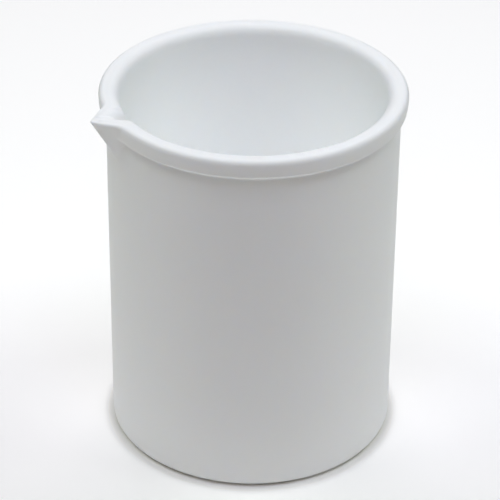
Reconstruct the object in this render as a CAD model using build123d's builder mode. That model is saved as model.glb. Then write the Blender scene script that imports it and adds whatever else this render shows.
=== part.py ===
from build123d import *
import math
import os

os.makedirs("parts", exist_ok=True)

# A low-form laboratory beaker, moulded and turned in one piece from white fluoropolymer, with a
# beaded rim and a V-shaped pouring spout. Millimetres. The origin is on the beaker's axis at the
# underside of its base, +Z is up and the spout points along -X.

# Driving dimensions of the cup
height = 117.8
body_radius = 45.0
wall = 4.1
floor_thickness = 4.0
base_corner_round = 3.0
inside_corner_round = 7.0

# Driving dimensions of the rim bead, which leans in slightly towards its lower edge
rim_radius = 47.15
rim_lower_radius = 46.8
rim_height = 5.9
rim_top_round = 1.6
mouth_round = 2.6

# Driving dimensions of the spout: each reach is measured from the axis, each depth from the rim
spout_reach = 54.7
spout_depth = 15.7
spout_half_angle = 47.0
keel_round = 1.5
spout_blend = 3.0
channel_reach = 46.8
channel_depth = 10.5
channel_half_angle = 33.5
valley_round = 1.0
channel_mouth_round = 3.0

# Worked out from the driving dimensions
inner_radius = body_radius - wall
rim_bottom = height - rim_height
wedge_margin = 8.0


def radius_at(point):
    """Distance of a point from the beaker's axis."""
    return math.hypot(point.X, point.Y)


def reaches(edge):
    """Distances from the axis of an edge's two ends and its middle."""
    return [radius_at(edge @ place) for place in (0, 0.5, 1)]


def vee_wedge(reach, half_angle, root, foot_radius, depth):
    """A wedge whose V outline is level with the rim, its point at x = -reach and its back at
    x = -root. Its keel runs from that point down to the radius foot_radius, depth lower."""
    tip = Vector(-reach, 0, height)
    keel = Vector(reach - foot_radius, 0, -depth)
    angle = math.radians(half_angle)
    half_width = (reach - root) * math.tan(angle)
    with BuildPart() as wedge:
        with BuildSketch(Plane.XY.offset(height)):
            with BuildLine():
                Polyline((-reach, 0), (-root, half_width), (-root, -half_width), close=True)
            make_face()
        extrude(amount=-depth - wedge_margin)
        for side in (1, -1):
            leg = Vector(math.cos(angle), side * math.sin(angle), 0)
            outward = leg.cross(keel) * side
            split(bisect_by=Plane(origin=tip, x_dir=leg, z_dir=outward), keep=Keep.BOTTOM)
    return wedge.part


spout = vee_wedge(spout_reach, spout_half_angle, inner_radius, body_radius, spout_depth)
channel = vee_wedge(channel_reach, channel_half_angle, 0.7 * inner_radius, inner_radius, channel_depth)

with BuildPart() as beaker_body:
    # Solid of revolution: body and rim bead, still without the cavity
    with BuildSketch(Plane.XZ) as profile:
        with BuildLine():
            Polyline(
                (0, 0),
                (body_radius, 0),
                (body_radius, rim_bottom),
                (rim_lower_radius, rim_bottom),
                (rim_radius, height),
                (0, height),
                close=True,
            )
        make_face()
        fillet(profile.vertices().group_by(Axis.Y)[0].sort_by(Axis.X)[-1], base_corner_round)
    revolve(axis=Axis.Z)

    # Outside of the spout: a keeled wedge, its keel rounded and its flanks blended into the wall
    add(spout)
    keel_edges = beaker_body.edges().filter_by(GeomType.LINE).filter_by(
        lambda edge: min(reaches(edge)) > body_radius - 0.01 and abs(edge.center().Y) < 0.01
        and edge.center().X < -body_radius
    )
    fillet(keel_edges, keel_round)
    flank_edges = beaker_body.edges().filter_by(GeomType.ELLIPSE).filter_by(
        lambda edge: max(reaches(edge)) < rim_radius + 0.01 and edge.center().X < 0
    )
    fillet(flank_edges, spout_blend)

    # Cavity and pouring channel
    with BuildSketch(Plane.XY.offset(height)):
        Circle(inner_radius)
    extrude(amount=floor_thickness - height, mode=Mode.SUBTRACT)
    add(channel, mode=Mode.SUBTRACT)
    valley_edges = beaker_body.edges().filter_by(GeomType.LINE).filter_by(
        lambda edge: radius_at(edge.center()) < body_radius and abs(edge.center().Y) < 0.01
        and edge.center().X < 0 and edge.center().Z > height - channel_depth
    )
    fillet(valley_edges, valley_round)
    mouth_edges = beaker_body.edges().filter_by(
        lambda edge: max(reaches(edge)) < inner_radius + 0.1 and edge.center().X < 0
        and height - channel_depth < edge.center().Z < height - 0.1
        and abs(edge.center().Y) > valley_round
    )
    fillet(mouth_edges, channel_mouth_round)

    # Rounded top edges, outside and inside, which run on round the spout
    top_edges = beaker_body.edges().group_by(Axis.Z)[-1]
    middle_radius = rim_radius - 0.15
    fillet(top_edges.filter_by(lambda edge: max(reaches(edge)) > middle_radius), rim_top_round)
    top_edges = beaker_body.edges().group_by(Axis.Z)[-1]
    fillet(top_edges.filter_by(lambda edge: max(reaches(edge)) < channel_reach), mouth_round)

    # Rounded corner between the cavity's floor and its wall
    floor_edges = beaker_body.edges().filter_by(
        lambda edge: abs(edge.center().Z - floor_thickness) < 0.01
    )
    fillet(floor_edges, inside_corner_round)

beaker_body.part.label = "beaker_body"
export_step(beaker_body.part, "parts/beaker_body.step")
print("volume", round(beaker_body.part.volume), "mm3, valid", beaker_body.part.is_valid)
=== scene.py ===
import math

import bpy
from mathutils import Matrix, Vector


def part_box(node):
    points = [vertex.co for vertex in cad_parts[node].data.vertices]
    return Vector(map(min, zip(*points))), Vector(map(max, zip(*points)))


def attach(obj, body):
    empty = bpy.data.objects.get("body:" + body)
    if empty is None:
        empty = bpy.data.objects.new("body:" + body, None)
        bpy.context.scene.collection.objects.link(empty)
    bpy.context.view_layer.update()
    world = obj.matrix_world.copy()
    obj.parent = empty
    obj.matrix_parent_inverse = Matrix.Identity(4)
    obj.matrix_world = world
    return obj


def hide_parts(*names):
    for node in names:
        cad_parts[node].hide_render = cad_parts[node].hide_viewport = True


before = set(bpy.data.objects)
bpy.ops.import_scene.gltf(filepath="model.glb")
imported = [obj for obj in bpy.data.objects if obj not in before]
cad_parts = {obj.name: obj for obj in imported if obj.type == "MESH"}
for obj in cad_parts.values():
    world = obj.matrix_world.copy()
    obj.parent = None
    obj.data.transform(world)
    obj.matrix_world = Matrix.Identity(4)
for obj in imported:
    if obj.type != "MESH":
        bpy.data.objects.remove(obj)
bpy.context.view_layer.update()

MM = 0.001

# ---------------------------------------------------------------- dimensions, in metres
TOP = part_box("beaker_body")[1].z
BODY_R = 45.0 * MM
BASE_ROUND = 3.1 * MM
FLOOR = 4.0 * MM
INNER_R = 40.9 * MM
FLOOR_ROUND = 7.0 * MM

RIM_R = 47.1 * MM
RIM_LOWER_R = 46.8 * MM
RIM_DEPTH = 5.9 * MM
RIM_EDGE_ROUND = 1.1 * MM
RIM_UNDERCUT = 0.9 * MM
RIM_OUTER_ROUND = 1.6 * MM
MOUTH_ROUND = 3.0 * MM

SPOUT_REACH = 54.1 * MM
SPOUT_DEPTH = 15.7 * MM
SPOUT_HALF = math.radians(47.0)
KEEL_ROUND = 1.4 * MM
LIP_ROUND = 1.0 * MM
TIP_DROP = 0.45 * MM
SPOUT_BLEND = 0.8 * MM
FOOT_BLEND = 0.15 * MM

CHANNEL_REACH = 46.8 * MM
CHANNEL_DEPTH = 10.5 * MM
CHANNEL_HALF = math.radians(33.5)
VALLEY_ROUND = 1.0 * MM
MOUTH_BLEND = 0.8 * MM

# ---------------------------------------------------------------- the studio, in metres and radians
VIEW_AZIMUTH = math.radians(25.0)
CAMERA_DISTANCE, CAMERA_HEIGHT = 630.8 * MM, 446.3 * MM
CAMERA_HEADING, CAMERA_PITCH, CAMERA_ROLL = VIEW_AZIMUTH - 0.0011, 0.5499, 0.0094
CAMERA_LENS, CAMERA_SENSOR = 168.6, 36.0  # millimetres
LIGHT_SIZE = (0.45, 0.35)
LIGHT_DISTANCE = 0.9
LIGHT_TARGET = (0, 0, 0.1)
FLOOR_HALF = 6.0
# the floor's painted light: a glow centred behind the object, with a painted contact shadow round the
# base
CONTACT_SHADOW_WIDTH = 4 * MM
GLOW_BEHIND = 0.16
GLOW_EDGES = (0.17, 0.30)
GLOW_STRENGTHS = (0.30, 0.03)


def smooth_max(a, b, width):
    """The larger of the two, rounded where they are less than `width` apart."""
    gap = max(0.0, 1.0 - abs(a - b) / width)
    return max(a, b) + width * gap * gap / 4


def smoothstep(t):
    t = min(1.0, max(0.0, t))
    return t * t * (3 - 2 * t)


def rounded_vee(reach, half, nose, angle):
    """Distance from the axis to a V with its nose rounded, `angle` off the V's centre line."""
    angle = abs(angle)
    centre = reach - nose / math.sin(half)
    if angle < math.atan2(nose * math.cos(half), centre + nose * math.sin(half)):
        return centre * math.cos(angle) + math.sqrt(nose ** 2 - (centre * math.sin(angle)) ** 2)
    return reach * math.sin(half) / math.sin(min(half + angle, math.pi / 2))


def rim_side(z):
    """Radius of the outside at height z, with no spout: wall, undercut, lower edge and rim side."""
    edge_centre = TOP - RIM_DEPTH + RIM_EDGE_ROUND
    undercut_low = TOP - RIM_DEPTH - RIM_UNDERCUT
    if z < undercut_low:
        return BODY_R
    if z < TOP - RIM_DEPTH:
        t = (z - undercut_low) / RIM_UNDERCUT
        return BODY_R + (RIM_LOWER_R - RIM_EDGE_ROUND - BODY_R) * t
    if z < edge_centre:
        drop = edge_centre - z
        return RIM_LOWER_R - RIM_EDGE_ROUND + math.sqrt(max(0.0, RIM_EDGE_ROUND ** 2 - drop ** 2))
    shoulder = TOP - RIM_OUTER_ROUND
    t = max(0.0, (shoulder - z) / (shoulder - edge_centre))
    return RIM_R - (RIM_R - RIM_LOWER_R) * t * t


def outer_radius(z, angle):
    """Radius of the outside at height z, `angle` off the spout."""
    rise = (z - (TOP - SPOUT_DEPTH)) / SPOUT_DEPTH
    if rise < -0.1:
        return rim_side(z)
    reach = BODY_R + (SPOUT_REACH - BODY_R) * rise
    width = FOOT_BLEND + (SPOUT_BLEND - FOOT_BLEND) * smoothstep(rise / 0.6)
    return smooth_max(rim_side(z), rounded_vee(reach, SPOUT_HALF, KEEL_ROUND, angle), width)


def inner_radius(z, angle):
    """Radius of the inside wall at height z, `angle` off the spout, above the floor's rounded corner."""
    rise = (z - (TOP - CHANNEL_DEPTH)) / CHANNEL_DEPTH
    if rise < -0.2:
        return INNER_R
    reach = INNER_R + (CHANNEL_REACH - INNER_R) * rise
    return smooth_max(INNER_R, rounded_vee(reach, CHANNEL_HALF, VALLEY_ROUND, angle), MOUTH_BLEND)


def edge_curve(start, corner, end, steps):
    """Points of a round edge: tangent at `start` and `end` to the lines that meet in `corner`."""
    a, b = Vector(start) - Vector(corner), Vector(end) - Vector(corner)
    weight = math.sin(a.angle(b) / 2)
    points = []
    for i in range(steps + 1):
        t = i / steps
        w0, w1, w2 = (1 - t) ** 2, 2 * weight * t * (1 - t), t ** 2
        total = w0 + w1 + w2
        points.append(tuple((w0 * s + w1 * c + w2 * e) / total
                            for s, c, e in zip(start, corner, end)))
    return points


def spread(low, high, count):
    """`count` equal steps from `low`, without `high` itself."""
    return [low + (high - low) * i / count for i in range(count)]


def between(start, end, count):
    """The points that cut the line from `start` to `end` into `count` parts, without its two ends."""
    return [tuple(s + (e - s) * i / count for s, e in zip(start, end)) for i in range(1, count)]


def slant(radius_at, z, angle):
    """Cosine between the radial direction and the outline's normal, and the outline's lean at z."""
    step, drop = math.radians(0.2), 0.5 * MM
    r = radius_at(z, angle)
    turn = (radius_at(z, angle + step) - radius_at(z, angle - step)) / (2 * step * r)
    lean = (r - radius_at(z - drop, angle)) / drop
    return 1 / math.sqrt(1 + turn * turn), lean


def section(angle):
    """The section at `angle` from the spout, from the underside's middle over the rim to the floor."""
    points = [(r * MM, 0.0) for r in (6, 14, 22, 29, 35, 39)]
    points += [(BODY_R - BASE_ROUND + BASE_ROUND * math.sin(a),
                BASE_ROUND - BASE_ROUND * math.cos(a)) for a in spread(0, math.pi / 2, 9)]
    spout_low = TOP - SPOUT_DEPTH - 1.5 * MM
    undercut_low = TOP - RIM_DEPTH - RIM_UNDERCUT
    heights = spread(BASE_ROUND, spout_low, 34)
    heights += spread(spout_low, undercut_low, 26)
    heights += spread(undercut_low, TOP - RIM_DEPTH, 4)
    heights += [TOP - RIM_DEPTH + RIM_EDGE_ROUND * (1 - math.cos(a))
                for a in spread(0, math.pi / 2, 8)]

    # the outer edge of the top: round on the rim, and tighter and slightly lower at the spout's tip
    top_r = outer_radius(TOP, angle)
    on_spout = smoothstep((top_r - RIM_R) / (SPOUT_REACH - RIM_R - 1.0 * MM))
    lip = RIM_OUTER_ROUND + (LIP_ROUND - RIM_OUTER_ROUND) * on_spout
    facing, lean = slant(outer_radius, TOP, angle)
    down = lip / math.sqrt(1 + lean * lean)
    top = TOP - TIP_DROP * on_spout
    lip_start = (outer_radius(top - down, angle), top - down)
    heights += spread(TOP - RIM_DEPTH + RIM_EDGE_ROUND, top - down, 9)
    points += [(outer_radius(z, angle), z) for z in heights]
    outer_end = (top_r - lip / facing, top)
    points += edge_curve(lip_start, (top_r, top), outer_end, 14)

    # the flat top, then the rounded edge of the mouth or the channel
    inner_top = inner_radius(TOP, angle)
    facing, _ = slant(inner_radius, TOP, angle)
    across = min(MOUTH_ROUND / facing, outer_end[0] - inner_top - 0.02 * MM)
    points += between(outer_end, (inner_top + across, TOP), 4)
    mouth_low = TOP - MOUTH_ROUND
    inner_end = (inner_radius(mouth_low, angle), mouth_low)
    points += edge_curve((inner_top + across, TOP), (inner_top, TOP), inner_end, 16)[:-1]
    channel_low = TOP - CHANNEL_DEPTH - 2 * MM
    heights = spread(mouth_low, channel_low, 20) + spread(channel_low, FLOOR + FLOOR_ROUND, 34)
    points += [(inner_radius(z, angle), z) for z in heights]
    points += [(INNER_R - FLOOR_ROUND + FLOOR_ROUND * math.cos(a),
                FLOOR + FLOOR_ROUND - FLOOR_ROUND * math.sin(a)) for a in spread(0, math.pi / 2, 12)]
    points += [(r * MM, FLOOR) for r in (34.1, 30, 25, 20, 14, 8, 3)]
    return points


def build_beaker():
    """One closed mesh: the section swept round the axis, with closer steps near the spout."""
    angles = spread(0, 13, 60) + spread(13, 24, 24) + spread(24, 48, 24) + spread(48, 180, 66)
    angles = [-a for a in reversed(angles[1:])] + angles + [180.0]
    verts, faces = [], []
    for degrees in angles:
        angle = math.radians(degrees)
        for r, z in section(angle):
            verts.append((-r * math.cos(angle), -r * math.sin(angle), z))
    rows, columns = len(verts) // len(angles), len(angles)
    for i in range(columns):
        here, there = i * rows, (i + 1) % columns * rows
        faces += [(here + j, there + j, there + j + 1, here + j + 1) for j in range(rows - 1)]
    underside, inside = len(verts), len(verts) + 1
    verts += [(0, 0, 0), (0, 0, FLOOR)]
    for i in range(columns):
        here, there = i * rows, (i + 1) % columns * rows
        faces.append((underside, there, here))
        faces.append((inside, here + rows - 1, there + rows - 1))
    mesh = bpy.data.meshes.new("beaker")
    mesh.from_pydata(verts, [], faces)
    mesh.validate()
    mesh.shade_smooth()
    piece = bpy.data.objects.new("beaker", mesh)
    bpy.context.collection.objects.link(piece)
    return piece


def white_polymer():
    """Waxy white fluoropolymer: faint cloudiness in tint and gloss, turning marks, a pebble grain."""
    material = bpy.data.materials.new("beaker_polymer")
    material.use_nodes = True
    nodes, links = material.node_tree.nodes, material.node_tree.links
    shader = nodes["Principled BSDF"]
    shader.inputs["Subsurface Weight"].default_value = 0.3
    shader.inputs["Subsurface Radius"].default_value = (1.0, 0.9, 0.8)
    shader.inputs["Subsurface Scale"].default_value = 0.003
    shader.inputs["Specular IOR Level"].default_value = 0.35
    shader.inputs["IOR"].default_value = 1.36

    def add(kind, **inputs):
        node = nodes.new(kind)
        for name, value in inputs.items():
            node.inputs[name.replace("_", " ")].default_value = value
        return node

    place = nodes.new("ShaderNodeTexCoord").outputs["Object"]

    def noise(scale, detail, stretch=(1, 1, 1)):
        squeeze = add("ShaderNodeMapping", Scale=stretch)
        links.new(place, squeeze.inputs["Vector"])
        node = add("ShaderNodeTexNoise", Scale=scale, Detail=detail)
        links.new(squeeze.outputs["Vector"], node.inputs["Vector"])
        return node.outputs["Fac"]

    cloud = noise(38, 3)
    grain = noise(900, 2)
    turning = noise(60, 2, (0.05, 0.05, 60))

    tint = nodes.new("ShaderNodeValToRGB")
    stops = ((0.3, (0.945, 0.955, 0.95, 1)), (0.7, (0.97, 0.975, 0.98, 1)))
    for element, (position, colour) in zip(tint.color_ramp.elements, stops):
        element.position, element.color = position, colour
    links.new(cloud, tint.inputs["Fac"])
    links.new(tint.outputs["Color"], shader.inputs["Base Color"])

    gloss = add("ShaderNodeMapRange", From_Min=0.3, From_Max=0.7, To_Min=0.40, To_Max=0.56)
    links.new(cloud, gloss.inputs["Value"])
    links.new(gloss.outputs["Result"], shader.inputs["Roughness"])

    marks = add("ShaderNodeBump", Strength=0.12, Distance=0.00012)
    links.new(turning, marks.inputs["Height"])
    pebble = add("ShaderNodeBump", Strength=0.25, Distance=0.0001)
    links.new(grain, pebble.inputs["Height"])
    links.new(marks.outputs["Normal"], pebble.inputs["Normal"])
    links.new(pebble.outputs["Normal"], shader.inputs["Normal"])
    return material


def build_floor():
    """A pale floor with painted light: an emissive glow under and behind the object stands in for a lit
    studio table and lights the beaker, and a painted contact shadow round the base cuts the glow off.
    """
    corners = [(x * FLOOR_HALF, y * FLOOR_HALF, 0) for x, y in ((-1, -1), (1, -1), (1, 1), (-1, 1))]
    mesh = bpy.data.meshes.new("floor")
    mesh.from_pydata(corners, [], [(0, 1, 2, 3)])
    floor = bpy.data.objects.new("floor", mesh)
    bpy.context.collection.objects.link(floor)
    material = bpy.data.materials.new("pale_floor_painted_glow")
    material.use_nodes = True
    nodes, links = material.node_tree.nodes, material.node_tree.links
    shader = nodes["Principled BSDF"]
    shader.inputs["Base Color"].default_value = (0.90, 0.885, 0.86, 1)
    shader.inputs["Roughness"].default_value = 0.9
    shader.inputs["Specular IOR Level"].default_value = 0.0
    shader.inputs["Emission Color"].default_value = (0.97, 0.98, 1.0, 1)
    coordinates = nodes.new("ShaderNodeTexCoord")

    def by_distance(centre, edges, values):
        """Eases from the first value to the second between two distances from `centre`."""
        offset = nodes.new("ShaderNodeVectorMath")
        offset.operation = "SUBTRACT"
        offset.inputs[1].default_value = centre
        length = nodes.new("ShaderNodeVectorMath")
        length.operation = "LENGTH"
        ease = nodes.new("ShaderNodeMapRange")
        ease.interpolation_type = "SMOOTHSTEP"
        ease.inputs["From Min"].default_value, ease.inputs["From Max"].default_value = edges
        ease.inputs["To Min"].default_value, ease.inputs["To Max"].default_value = values
        links.new(coordinates.outputs["Object"], offset.inputs[0])
        links.new(offset.outputs["Vector"], length.inputs[0])
        links.new(length.outputs["Value"], ease.inputs["Value"])
        return ease.outputs["Result"]

    # painted light: the floor's emission is a pool of glow, strong near the object and faint far off,
    # that lights the beaker like a lit table
    glow = nodes.new("ShaderNodeMath")
    glow.operation = "MULTIPLY"
    behind = round_from_camera(180, 0, GLOW_BEHIND, 0)
    # painted contact shadow: no glow at the base's edge, easing back to full glow a few millimetres out
    contact_shadow = by_distance((0, 0, 0), (BODY_R, BODY_R + CONTACT_SHADOW_WIDTH), (0.0, 1.0))
    links.new(by_distance(behind, GLOW_EDGES, GLOW_STRENGTHS), glow.inputs[0])
    links.new(contact_shadow, glow.inputs[1])
    links.new(glow.outputs["Value"], shader.inputs["Emission Strength"])
    mesh.materials.append(material)


def round_from_camera(turn, elevation, distance, height=0.08):
    """A point `distance` from the axis at `height`, `turn` degrees to the right of the camera's side."""
    bearing = VIEW_AZIMUTH - math.radians(turn)
    reach = distance * math.cos(math.radians(elevation))
    return (-reach * math.sin(bearing), -reach * math.cos(bearing),
            height + distance * math.sin(math.radians(elevation)))


def add_light(name, turn, elevation, power, colour):
    """A soft box, `turn` and `elevation` degrees round from the camera, aimed at the beaker."""
    light = bpy.data.lights.new(name, "AREA")
    light.shape = "RECTANGLE"
    light.size, light.size_y = LIGHT_SIZE
    light.energy = power
    light.color = colour
    lamp = bpy.data.objects.new(name, light)
    lamp.location = round_from_camera(turn, elevation, LIGHT_DISTANCE)
    lamp.rotation_euler = (Vector(LIGHT_TARGET) - lamp.location).to_track_quat("-Z", "Y").to_euler()
    bpy.context.collection.objects.link(lamp)


def build_camera():
    """A long lens above the rim, looking down at the beaker."""
    cos_pitch = math.cos(CAMERA_PITCH)
    forward = Vector((math.sin(CAMERA_HEADING) * cos_pitch, math.cos(CAMERA_HEADING) * cos_pitch,
                      -math.sin(CAMERA_PITCH)))
    level = Vector((math.cos(CAMERA_HEADING), -math.sin(CAMERA_HEADING), 0))
    upright = level.cross(forward)
    right = level * math.cos(CAMERA_ROLL) + upright * math.sin(CAMERA_ROLL)
    up = upright * math.cos(CAMERA_ROLL) - level * math.sin(CAMERA_ROLL)
    camera = bpy.data.objects.new("camera", bpy.data.cameras.new("camera"))
    camera.data.sensor_width = CAMERA_SENSOR
    camera.data.lens = CAMERA_LENS
    camera.data.clip_start = 0.01
    rotation = Matrix((right, up, -forward)).transposed()
    place = Vector((-CAMERA_DISTANCE * math.sin(VIEW_AZIMUTH),
                    -CAMERA_DISTANCE * math.cos(VIEW_AZIMUTH), CAMERA_HEIGHT))
    camera.matrix_world = Matrix.Translation(place) @ rotation.to_4x4()
    bpy.context.collection.objects.link(camera)
    bpy.context.scene.camera = camera


beaker = build_beaker()
beaker.data.materials.append(white_polymer())
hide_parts("beaker_body")
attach(beaker, "root")

build_floor()
add_light("overhead", 0, 68, 2.45, (0.66, 0.71, 0.98))
add_light("front", 0, 55, 0.55, (1.0, 0.68, 0.24))
add_light("back", 180, 55, 2.1, (0.95, 0.89, 1.0))
add_light("left", -90, 55, 2.3, (0.93, 1.0, 0.90))
add_light("right", 90, 55, 2.7, (0.92, 1.0, 0.94))

world = bpy.data.worlds.new("studio")
world.use_nodes = True
background = world.node_tree.nodes["Background"]
background.inputs["Color"].default_value = (0.95, 0.97, 1.0, 1)
background.inputs["Strength"].default_value = 0.01

scene = bpy.context.scene
scene.world = world
scene.view_settings.view_transform = "Standard"
# the white cavity gets much of its light from its own walls
scene.cycles.diffuse_bounces = 16
scene.cycles.max_bounces = 20

build_camera()
